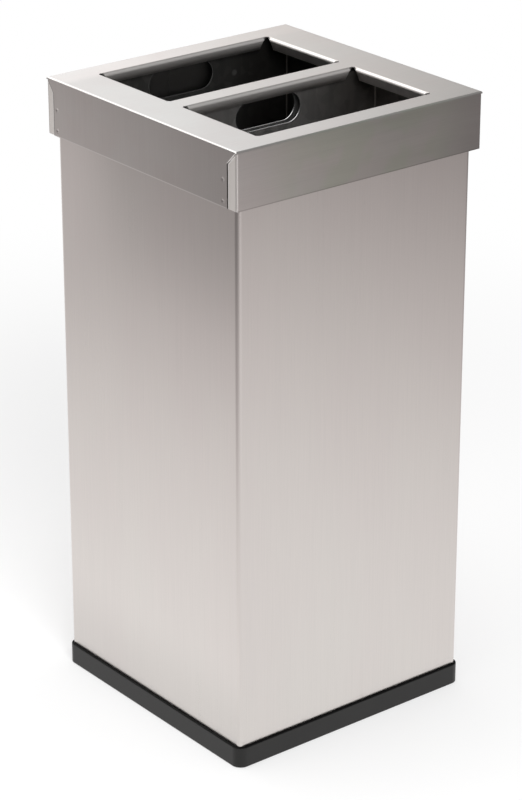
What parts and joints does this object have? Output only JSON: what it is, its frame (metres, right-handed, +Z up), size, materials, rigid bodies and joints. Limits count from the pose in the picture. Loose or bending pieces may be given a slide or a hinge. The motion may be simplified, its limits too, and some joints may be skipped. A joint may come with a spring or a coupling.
{
  "type": "double recycling bin",
  "caption": "Tall square floor-standing waste bin with a lift-off folded lid, side-by-side long openings, removable sheet-metal liners with hand holes, and a moulded plinth.",
  "frame": {"origin": "on the floor, under the middle of the bin", "axes": "+Z up, +X to the right of someone facing the bin, -Y towards its front"},
  "size_m": [0.35, 0.35, 0.75],
  "materials": {
    "brushed_lid": "brushed stainless, grain along the front",
    "brushed_casing": "brushed stainless, upright grain",
    "galvanised_liner": "galvanised sheet, dull, with faint spangle",
    "galvanised_floor": "galvanised sheet, dull",
    "black_plastic": "moulded black plastic, fine satin grain",
    "black_rubber": "matt rubber",
    "zinc_screw": "bright zinc plated"
  },
  "bodies": {
    "root": {"casing_shell": "brushed_casing", "floor_pan": "galvanised_floor", "base_plinth": "black_plastic", "plinth_screws": "zinc_screw", "foot_pad_front_left": "black_rubber", "foot_pad_front_right": "black_rubber", "foot_pad_rear_right": "black_rubber", "foot_pad_rear_left": "black_rubber"},
    "lid": {"lid_cover": "brushed_lid", "lid_guide_front_left": "brushed_lid", "lid_guide_front_right": "brushed_lid", "lid_guide_rear_right": "brushed_lid", "lid_guide_rear_left": "brushed_lid", "lid_pad_front": "black_rubber", "lid_pad_right": "black_rubber", "lid_pad_rear": "black_rubber", "lid_pad_left": "black_rubber"},
    "front_liner": {"front_liner_shell": "galvanised_liner", "front_liner_bottom": "galvanised_liner"},
    "rear_liner": {"rear_liner_shell": "galvanised_liner", "rear_liner_bottom": "galvanised_liner"}
  },
  "joints": [
    {"name": "lid_lift", "type": "slide", "parent": "root", "child": "lid", "axis": [0, 0, 1], "range_m": [0, 0.83]},
    {"name": "front_liner_lift", "type": "slide", "parent": "root", "child": "front_liner", "axis": [0, 0, 1], "range_m": [0, 0.748]},
    {"name": "rear_liner_lift", "type": "slide", "parent": "root", "child": "rear_liner", "axis": [0, 0, 1], "range_m": [0, 0.748]}
  ],
  "couplings": [
    {"joint": "front_liner_lift", "follows": "lid_lift", "ratio": 0.9},
    {"joint": "rear_liner_lift", "follows": "lid_lift", "ratio": 0.9}
  ]
}
